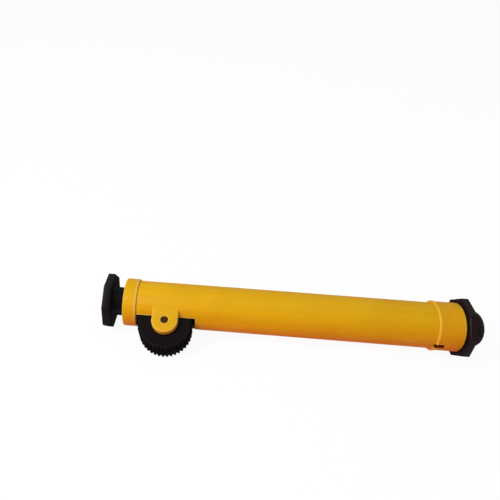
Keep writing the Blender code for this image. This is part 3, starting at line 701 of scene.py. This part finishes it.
def ear_outline(inset, root_y):
    """(x, y) outline of an ear: straight sides down from the tube, and a half circle round the axle."""
    half = EAR_HALF_WIDTH - inset
    outline = [(WHEEL_X + half, root_y), (WHEEL_X - half, root_y)]
    for step in range(ARC_STEPS + 1):
        turn = math.pi + math.pi * step / ARC_STEPS
        outline.append((WHEEL_X + half * math.cos(turn), half * math.sin(turn) - WHEEL_OUT))
    return outline


def beside_wheel(name, outline, start, end):
    """Raises a (y, z) outline along the tube, turned round to where the sleeve's notch is."""
    piece = lofted(name, [[(x, y, z) for y, z in outline] for x in (start, end)])
    piece.data.transform(Matrix.Rotation(-WINDOW_TURN, 4, "X"))
    return piece


def main_tube():
    """The yellow tube with its wheel slot, the two ears with their rounded edges, and the snap catch."""
    shoulder = COLLAR_LENGTH + CLOSE
    tube = turned(
        "main_tube",
        [
            (COLLAR_WALL + FIT, TUBE_BORE, 0),
            (COLLAR_WALL + FIT, STEP_OUTER, FIT),
            (shoulder, STEP_OUTER, 0),
            (shoulder, TUBE_OUTER, TUBE_EDGE),
            (TUBE_END, TUBE_OUTER, FIT / 2),
            (TUBE_END, STEP_OUTER, 0),
            (TUBE_END + STEP_LENGTH, STEP_OUTER, FIT),
            (TUBE_END + STEP_LENGTH, TUBE_BORE, 0),
        ],
    )
    for side in (1, -1):
        layers = [(side * (SLOT_HALF - FIT), 0)] + rounded_rim(side * EAR_FACE, side, EAR_EDGE)
        ear = lofted("ear", [[(x, y, z) for x, y in ear_outline(inset, -TUBE_BORE / 2)] for z, inset in layers])
        tube = combined(tube, ear, "UNION")
    tube = combined(tube, rod("bore", 0, TUBE_END + 2 * STEP_LENGTH, TUBE_BORE), "DIFFERENCE")
    slot = box_outline(COLLAR_LENGTH, SLOT_END, -3 * TUBE_OUTER, -TUBE_BORE / 2)
    cutter = lofted("slot", [[(x, y, z) for x, y in slot] for z in (-SLOT_HALF, SLOT_HALF)])
    tube = combined(tube, cutter, "DIFFERENCE")
    hole = AXLE_RADIUS + FIT / 4
    mouth = hole + EAR_EDGE / 2
    profile = [(-2 * EAR_FACE, NEAR_AXIS, 0), (-2 * EAR_FACE, mouth, 0), (-EAR_FACE, mouth, 0)]
    profile += [(EAR_EDGE / 2 - EAR_FACE, hole, EAR_EDGE / 3), (EAR_FACE - EAR_EDGE / 2, hole, EAR_EDGE / 3)]
    profile += [(EAR_FACE, mouth, 0), (2 * EAR_FACE, mouth, 0), (2 * EAR_FACE, NEAR_AXIS, 0)]
    tube = combined(tube, turned("axle_hole", profile, SMALL_SIDES, about="axle"), "DIFFERENCE")

    half, catch_start = WINDOW_HEIGHT / 2 - FIT, WINDOW_END - CATCH_LENGTH - FIT
    opening = box_outline(-2 * TUBE_OUTER, -TUBE_BORE / 2, -half, half)
    tube = combined(tube, beside_wheel("opening", opening, SLEEVE_START, catch_start - FIT), "DIFFERENCE")
    catch = box_outline(-SLEEVE_BORE - FIT, FIT - STEP_OUTER, -half, half)
    tube = combined(tube, beside_wheel("catch", catch, catch_start, WINDOW_END - FIT), "UNION")

    def on_slot_edge(point):
        outside = abs(off_axis(point) - TUBE_OUTER) < CLOSE and point.y < 0
        on_side = abs(abs(point.z) - SLOT_HALF) < TOUCH and TUBE_START + FIT < point.x < SLOT_END + TOUCH
        at_end = abs(point.x - SLOT_END) < TOUCH and abs(point.z) < SLOT_HALF + TOUCH
        return outside and (on_side or at_end)

    # The slot's inner walls and the tube under the sleeve get painted shade.
    def in_painted_shade(place):
        in_slot = TUBE_START + FIT < place.x < SLOT_END + FIT and off_axis(place) < TUBE_OUTER - FIT
        return in_slot or place.x > TUBE_END + FIT

    # The ears' rounded rims get a painted highlight.
    def on_ear_edge(place):
        off_tube = place.y < -TUBE_OUTER / 2 and off_axis(place) > TUBE_OUTER + CLOSE
        return off_tube and EAR_FACE - 0.9 * EAR_EDGE < abs(place.z) < EAR_FACE - 3 * TOUCH

    tube = edges_rounded(tube, SLOT_EDGE, on_slot_edge)
    return rim_highlight_marked(painted_shade_marked(tube, in_painted_shade), on_ear_edge)


def end_collar():
    collar = turned(
        "end_collar_cap",
        [
            (0, NECK_RADIUS + FIT, FIT),
            (0, COLLAR_OUTER, COLLAR_FRONT_EDGE),
            (COLLAR_LENGTH - RIM_HIGHLIGHT_FADE, COLLAR_OUTER, 0),
            (COLLAR_LENGTH, COLLAR_OUTER, COLLAR_BACK_EDGE),
            (COLLAR_LENGTH, STEP_OUTER + FIT, 0),
            (COLLAR_WALL, STEP_OUTER + FIT, 0),
            (COLLAR_WALL, NECK_RADIUS + FIT, 0),
        ],
        steps=6,
    )
    front, back = COLLAR_FRONT_EDGE - CLOSE, COLLAR_LENGTH - COLLAR_BACK_EDGE - CLOSE

    # The collar's rounded rims get a painted highlight.
    def on_edge(place):
        return off_axis(place) > COLLAR_OUTER - front and (place.x < front or place.x > back)

    return rim_highlight_marked(collar, on_edge)


def chuck_sleeve():
    """The sleeve with its raised lip, its rounded rim and the notch for the catch on the wheel's side."""
    lip_start, lip_end = TUBE_END + FIT / 10, SLEEVE_START + LIP_LENGTH
    sleeve = turned(
        "chuck_sleeve_cap",
        [
            (lip_start, SLEEVE_BORE, 0),
            (lip_start, LIP_OUTER, LIP_ROUND),
            (lip_end - LIP_FOOT, LIP_OUTER, 0.25 * MM),
            (lip_end, SLEEVE_OUTER, LIP_FOOT),
            (SLEEVE_END - RIM_HIGHLIGHT_FADE, SLEEVE_OUTER, 0),
            (SLEEVE_END, SLEEVE_OUTER, SLEEVE_EDGE),
            (SLEEVE_END, SLEEVE_BORE, 0),
        ],
        steps=6,
    )
    outline = box_outline(-2 * SLEEVE_OUTER, -SLEEVE_BORE / 2, -WINDOW_HEIGHT / 2, WINDOW_HEIGHT / 2)
    sleeve = combined(sleeve, beside_wheel("notch", outline, TUBE_END - FIT, WINDOW_END), "DIFFERENCE")
    upright = Matrix.Rotation(WINDOW_TURN, 4, "X")

    def on_notch(point):
        place = upright @ point
        inside = abs(place.z) < WINDOW_HEIGHT / 2 + TOUCH and place.y < 0
        return inside and TUBE_END - FIT < place.x < WINDOW_END + TOUCH

    # The notch's walls get painted shade.
    def in_shaded_notch(place):
        return on_notch(place) and off_axis(place) < LIP_OUTER - FIT

    # The lip and the sleeve's front rim get a painted highlight.
    def on_rim_highlight(place):
        on_lip = place.x < lip_end - 2.5 * LIP_FOOT and off_axis(place) > TUBE_OUTER + FIT
        return on_lip or (place.x > SLEEVE_END - SLEEVE_EDGE - CLOSE and off_axis(place) > SLEEVE_BORE + FIT)

    sleeve = edges_rounded(sleeve, WINDOW_EDGE, on_notch, 2)
    return rim_highlight_marked(painted_shade_marked(sleeve, in_shaded_notch), on_rim_highlight)


def chuck_flange():
    """The octagonal plate with its rounded edges and the spigot that holds it in the sleeve."""
    flange = octagon_plate(
        "chuck_flange_plate", FLANGE_RADIUS, FLANGE_TURN, FLANGE_START, FLANGE_END, FLANGE_EDGE
    )
    spigot_start = FLANGE_START - SPIGOT_LENGTH
    middle = (FLANGE_START + FLANGE_END) / 2
    spigot = [
        (spigot_start, CAGE_RADIUS, 0),
        (spigot_start, STEP_OUTER, FIT),
        (middle, STEP_OUTER, 0),
        (middle, CAGE_RADIUS, 0),
    ]
    flange = combined(flange, turned("spigot", spigot), "UNION")
    return combined(flange, rod("flange_bore", spigot_start - FIT, NOSE_END, CAGE_RADIUS + FIT), "DIFFERENCE")


def nose_cap():
    """The rounded nose, its mouth and the cage behind it."""
    inner = SEAL_RADIUS + FIT
    return turned(
        "nose_cap_dome",
        [
            (SEAL_START, inner, 0),
            (SEAL_START, CAGE_RADIUS, FIT),
            (NOSE_START, CAGE_RADIUS, 0),
            (NOSE_START, NOSE_RADIUS, 0.4 * MM),
            (NOSE_END, NOSE_RADIUS, NOSE_ROUND),
            (NOSE_END, MOUTH_RADIUS, 0.5 * MM),
            (NOSE_END - NOSE_WALL, MOUTH_RADIUS, 0.2 * MM),
            (NOSE_END - NOSE_WALL, inner, 0),
        ],
        steps=14,
    )


def pipette_seal():
    floor = SEAL_START + NIPPLE_LENGTH
    return turned(
        "pipette_seat",
        [
            (SEAL_START, NIPPLE_RADIUS + FIT, 0.2 * MM),
            (SEAL_START, SEAL_RADIUS, 0.4 * MM),
            (SEAL_END, SEAL_RADIUS, 0.3 * MM),
            (SEAL_END, MOUTH_RADIUS - FIT, 0.5 * MM),
            (floor, SOCKET_RADIUS, 0.5 * MM),
            (floor, NIPPLE_RADIUS + FIT, 0.2 * MM),
        ],
        SMALL_SIDES,
    )


def tooth_half(distance):
    """Half a tooth's width, this far outside the pitch line."""
    return TOOTH_PITCH * TOOTH_SHARE / 2 - distance * math.tan(FLANK_ANGLE)


def wheel_tooth():
    """One tooth of the thumbwheel on the +X side of the axle, its tip and its ends rounded."""
    base, root = ROOT_RADIUS - FIT, WHEEL_FLOOR
    root_half, tip_half = (tooth_half(out) + TOOTH_FULLER for out in (root - PITCH_RADIUS, ADDENDUM))
    loops = []
    for z, inset in rounded_layers(-WHEEL_WIDTH / 2, WHEEL_WIDTH / 2, TOOTH_END_ROUND, 3):
        tip = WHEEL_RADIUS - inset
        outline = [(base, -root_half, 0), (root, -root_half, 0), (tip, -tip_half, TOOTH_TIP_ROUND)]
        outline += [(tip, tip_half, TOOTH_TIP_ROUND), (root, root_half, 0), (base, root_half, 0)]
        loops.append([(x, y, z) for x, y in softened(outline, 3)])
    return lofted("wheel_teeth", loops)


def thumb_wheel(tree):
    """The toothed disc: dished faces, a raised rim and a hub recessed for the washers."""
    face, floor = WHEEL_WIDTH / 2, WHEEL_WIDTH / 2 - WHEEL_DISH / 2
    recess = SLOT_HALF - WASHER_THICKNESS - FIT
    dish_outer = ROOT_RADIUS - WHEEL_RIM
    rim, soft = 0.5 * MM, 0.35 * MM
    upper = [
        (recess, AXLE_RADIUS + AXLE_PLAY, 0),
        (recess, WASHER_RADIUS + FIT, 0),
        (face, WASHER_RADIUS + FIT, 0.12 * MM),
        (face, HUB_RADIUS, 0.15 * MM),
        (floor, HUB_RADIUS, soft / 2),
        (floor, dish_outer - soft, 3 * soft),
        (face, dish_outer + 4 * soft, 3 * soft),
    ]
    lower = [(-height, radius, fillet) for height, radius, fillet in reversed(upper)]
    profile = upper + [(face, WHEEL_FLOOR, rim), (-face, WHEEL_FLOOR, rim)] + lower
    disc = turned("toothed_thumb_wheel", profile, WHEEL_SIDES, about="axle")
    teeth = tooth_row(wheel_tooth(), tree, WHEEL_TEETH, 0.0, 2 * math.pi / WHEEL_TEETH, FINISH["gear"])
    teeth.data.transform(Matrix.Translation((WHEEL_X, -WHEEL_OUT, 0)) @ Matrix.Rotation(math.pi / 2, 4, "Z"))
    return combined(disc, teeth, "UNION")


def wheel_axle():
    """The pin between the ears, with a centre hole in each end."""
    half, centre_hole, depth = EAR_FACE - AXLE_RECESS, 0.3 * MM, 0.5 * MM
    profile = [(-half, centre_hole, 0.1 * MM), (-half, AXLE_RADIUS, 0.4 * MM), (half, AXLE_RADIUS, 0.4 * MM)]
    profile += [(half, centre_hole, 0.1 * MM), (half - depth, NEAR_AXIS, 0), (depth - half, NEAR_AXIS, 0)]
    return turned("axle_pin", profile, SMALL_SIDES, about="axle")


def stem_outline(radius, flat, steps=40):
    """(y, z) outline of a round stem whose side towards the wheel is cut off at y = flat."""
    half = math.acos(flat / radius)
    turns = [half * (2 * step / steps - 1) for step in range(steps + 1)]
    return [(radius * math.cos(turn), radius * math.sin(turn)) for turn in turns]


def rack_tooth():
    """One tooth of the rack at x = 0, across the stem's flat side. Its ends slope down inside the stem's round."""
    reach = STEM_RADIUS - 2 * TOUCH
    end = math.sqrt(reach**2 - (RACK_TOP_Y + 1.5 * FIT) ** 2)
    near_end = math.sqrt(reach**2 - RACK_ROOT_Y**2)
    # From the end inwards: z, how far the tip has come down, and its fillet
    halves = [(end, FIT, 0.08 * MM), (near_end, 0.06 * MM, 0.16 * MM), (near_end - 0.25 * MM, 0, 0.16 * MM)]
    loops = []
    for z, drop, fillet in [(-z, drop, fillet) for z, drop, fillet in halves] + halves[::-1]:
        base = min(RACK_ROOT_Y + FIT, math.sqrt(reach**2 - z**2))
        root, top = min(RACK_ROOT_Y, base - 2 * TOUCH), RACK_TOP_Y + drop
        root_half, tip_half = (tooth_half(RACK_TOP_Y + ADDENDUM - y) for y in (root, top))
        outline = [(-root_half, base, 0), (-root_half, root, 0), (-tip_half, top, fillet)]
        outline += [(tip_half, top, fillet), (root_half, root, 0), (root_half, base, 0)]
        loops.append([(x, y, z) for x, y in softened(outline, 2)])
    return lofted("rack_teeth", loops)


def plunger_rack(tree):
    """The half-round bar with the teeth that the thumbwheel turns against, and its peg for the piston."""
    low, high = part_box("piston")
    piston_middle = (POSE.inverted() @ ((low + high) / 2)).x
    start, end = NECK_INSIDE - SOCKET_DEPTH + FIT, piston_middle - PISTON_LENGTH / 2 - FIT
    first, last = WHEEL_X - RACK_TEETH_BEFORE * TOOTH_PITCH, WHEEL_X + RACK_TEETH_AFTER * TOOTH_PITCH
    top_half = TOOTH_PITCH / 2 - tooth_half(ADDENDUM)
    root_half = TOOTH_PITCH / 2 - tooth_half(RACK_TOP_Y + ADDENDUM - RACK_ROOT_Y)
    stations = [(start, RACK_TOP_Y), (first - top_half, RACK_TOP_Y), (first - root_half, RACK_ROOT_Y)]
    stations += [(last + root_half, RACK_ROOT_Y), (last + top_half, RACK_TOP_Y), (end, RACK_TOP_Y)]
    loops = [[(x, y, z) for y, z in stem_outline(STEM_RADIUS, flat)] for x, flat in stations]
    bar = lofted("toothed_plunger_bar", loops)
    count = RACK_TEETH_BEFORE + RACK_TEETH_AFTER
    teeth = tooth_row(rack_tooth(), tree, count, TOOTH_PITCH, 0.0, FINISH["gear"])
    teeth.data.transform(Matrix.Translation((first + TOOTH_PITCH / 2, 0, 0)))
    bar = combined(bar, teeth, "UNION")
    peg = rod("peg", end - FIT, piston_middle, PEG_RADIUS, SMALL_SIDES, FIT)
    peg.data.transform(Matrix.Translation((0, RACK_TOP_Y + PEG_RADIUS + FIT, 0)))
    return combined(bar, peg, "UNION")


def plunger_head():
    """The octagonal head with soft edges, its neck, and the socket for the bar."""
    head = octagon_plate("octagonal_head", HEAD_RADIUS, HEAD_TURN, HEAD_FRONT, HEAD_BACK, HEAD_EDGE)
    middle = (HEAD_FRONT + HEAD_BACK) / 2
    neck = [
        (middle, NEAR_AXIS, 0),
        (middle, NECK_RADIUS + NECK_FLARE, 0),
        (HEAD_BACK, NECK_RADIUS + NECK_FLARE, 0),
        (HEAD_BACK + NECK_FLARE, NECK_RADIUS, 0.6 * MM),
        (NECK_INSIDE, NECK_RADIUS, 0.4 * MM),
        (NECK_INSIDE, NEAR_AXIS, 0),
    ]
    head = combined(head, turned("neck", neck), "UNION")
    socket = rod("socket", NECK_INSIDE - SOCKET_DEPTH, NECK_INSIDE + FIT, STEM_RADIUS + FIT, SMALL_SIDES)
    # The neck's faces behind the head get painted shade.
    return painted_shade_marked(combined(head, socket, "DIFFERENCE"), lambda place: place.x > HEAD_BACK + FIT)


def dress_inner_nodes():
    """Gives the pieces inside the tool, which keep their CAD shape, their finishes."""
    finishes = {
        "stem_bush": "white", "rack_guide": "white", "upper_washer": "white", "lower_washer": "white",
        "barrel_guide": "black", "barrel_plug": "white", "piston": "white", "barrel": "clear",
        "front_piston_ring": "rubber", "rear_piston_ring": "rubber", "plug_ring": "rubber",
    }
    for node, finish in finishes.items():
        for slot in frame["nodes"][node].material_slots:
            slot.material = FINISH[finish]


def build_tool():
    teeth = tooth_row_tree()
    settled(main_tube(), FINISH["yellow"], "casing", "body_tube")
    settled(end_collar(), FINISH["yellow"], "casing", "end_collar")
    settled(chuck_sleeve(), FINISH["amber"], "casing", "chuck_sleeve")
    settled(chuck_flange(), FINISH["chuck"], "casing", "chuck_flange")
    settled(nose_cap(), FINISH["chuck"], "casing", "nose_cap")
    settled(pipette_seal(), FINISH["silicone"], "casing", "pipette_seal")
    settled(wheel_axle(), FINISH["steel"], "casing", "wheel_axle")
    settled(thumb_wheel(teeth), FINISH["gear"], "wheel", "thumb_wheel")
    settled(plunger_rack(teeth), FINISH["gear"], "plunger", "plunger_rack")
    settled(plunger_head(), FINISH["black"], "plunger", "plunger_head")
    dress_inner_nodes()


# ---- stage -----------------------------------------------------------------------------------------------


def background_rays(tree):
    """1 where the background itself is seen: by the camera, in a reflection or through a clear piece."""
    path = tree.nodes.new("ShaderNodeLightPath")
    seen = math_node(tree, "MAXIMUM", path.outputs["Is Camera Ray"], path.outputs["Is Glossy Ray"])
    return math_node(tree, "MAXIMUM", seen, path.outputs["Is Transmission Ray"])


def blend_shaders(tree, share, first, second, output):
    blend = tree.nodes.new("ShaderNodeMixShader")
    for socket, value in zip(blend.inputs, (share, first.outputs[0], second.outputs[0])):
        tree.links.new(value, socket)
    tree.links.new(blend.outputs[0], tree.nodes[output].inputs["Surface"])


def bench():
    """A pale floor: near white with a soft shadow where it is seen, and a warm bounce for the underside."""
    half_size, seen_colour, bounce_colour = 4.0, (0.94, 0.94, 0.94, 1.0), (0.86, 0.16, 0.2, 1.0)
    glow_strength, glow_share = 1.02, 0.92
    builder = bmesh.new()
    bmesh.ops.create_grid(builder, x_segments=1, y_segments=1, size=half_size)
    floor = piece_from("bench", builder)
    material = bpy.data.materials.new("pale_bench")
    material.use_nodes = True
    tree = material.node_tree
    shader = tree.nodes["Principled BSDF"]
    seen = background_rays(tree)
    tree.links.new(colour_mix(tree, seen, bounce_colour, seen_colour), shader.inputs["Base Color"])
    shader.inputs["Roughness"].default_value = 0.9
    shader.inputs["Specular IOR Level"].default_value = 0.1
    glow = tree.nodes.new("ShaderNodeEmission")
    glow.inputs["Color"].default_value = (1, 1, 1, 1)
    glow.inputs["Strength"].default_value = glow_strength
    blend_shaders(tree, math_node(tree, "MULTIPLY", seen, glow_share), shader, glow, "Material Output")
    floor.data.materials.append(material)


def surroundings():
    """White where the background is seen, and a soft neutral light from all sides otherwise."""
    world = bpy.data.worlds.new("studio")
    bpy.context.scene.world = world
    world.use_nodes = True
    tree = world.node_tree
    light = tree.nodes["Background"]
    light.inputs["Color"].default_value = (1.0, 0.98, 0.96, 1)
    light.inputs["Strength"].default_value = 0.31
    white = tree.nodes.new("ShaderNodeBackground")
    white.inputs["Color"].default_value = (1, 1, 1, 1)
    white.inputs["Strength"].default_value = 1.0
    blend_shaders(tree, background_rays(tree), light, white, "World Output")


def softbox(name, place, aim, side, power):
    lamp = bpy.data.lights.new(name, "AREA")
    lamp.shape = "SQUARE"
    lamp.size = side
    lamp.energy = power
    holder = bpy.data.objects.new(name, lamp)
    bpy.context.scene.collection.objects.link(holder)
    holder.location = place
    holder.rotation_euler = (Vector(aim) - Vector(place)).to_track_quat("-Z", "Y").to_euler()


def photo_camera():
    """Stands where the photograph was taken from, which was found in the tool's own frame."""
    lens = bpy.data.cameras.new("photo_camera")
    lens.sensor_width = 36.0
    lens.lens = 34.42
    lens.shift_x, lens.shift_y = 0.1161, -0.0214
    lens.clip_start = 0.01
    holder = bpy.data.objects.new("photo_camera", lens)
    bpy.context.scene.collection.objects.link(holder)
    place = Vector((48.72, -112.06, 249.25)) * MM
    turn = Euler([math.radians(angle) for angle in (32.326, 0.352, 4.98)])
    holder.matrix_world = POSE @ Matrix.LocRotScale(place, turn, None)
    bpy.context.scene.camera = holder


build_tool()
bench()
surroundings()
softbox("main_softbox", place=(-0.5, -0.27, 0.58), aim=(0, 0, 0.01), side=0.3, power=3.7)
softbox("top_softbox", place=(0.05, 0.0, 0.9), aim=(0, 0, 0), side=0.8, power=1.4)
photo_camera()
bpy.context.scene.view_settings.view_transform = "Standard"
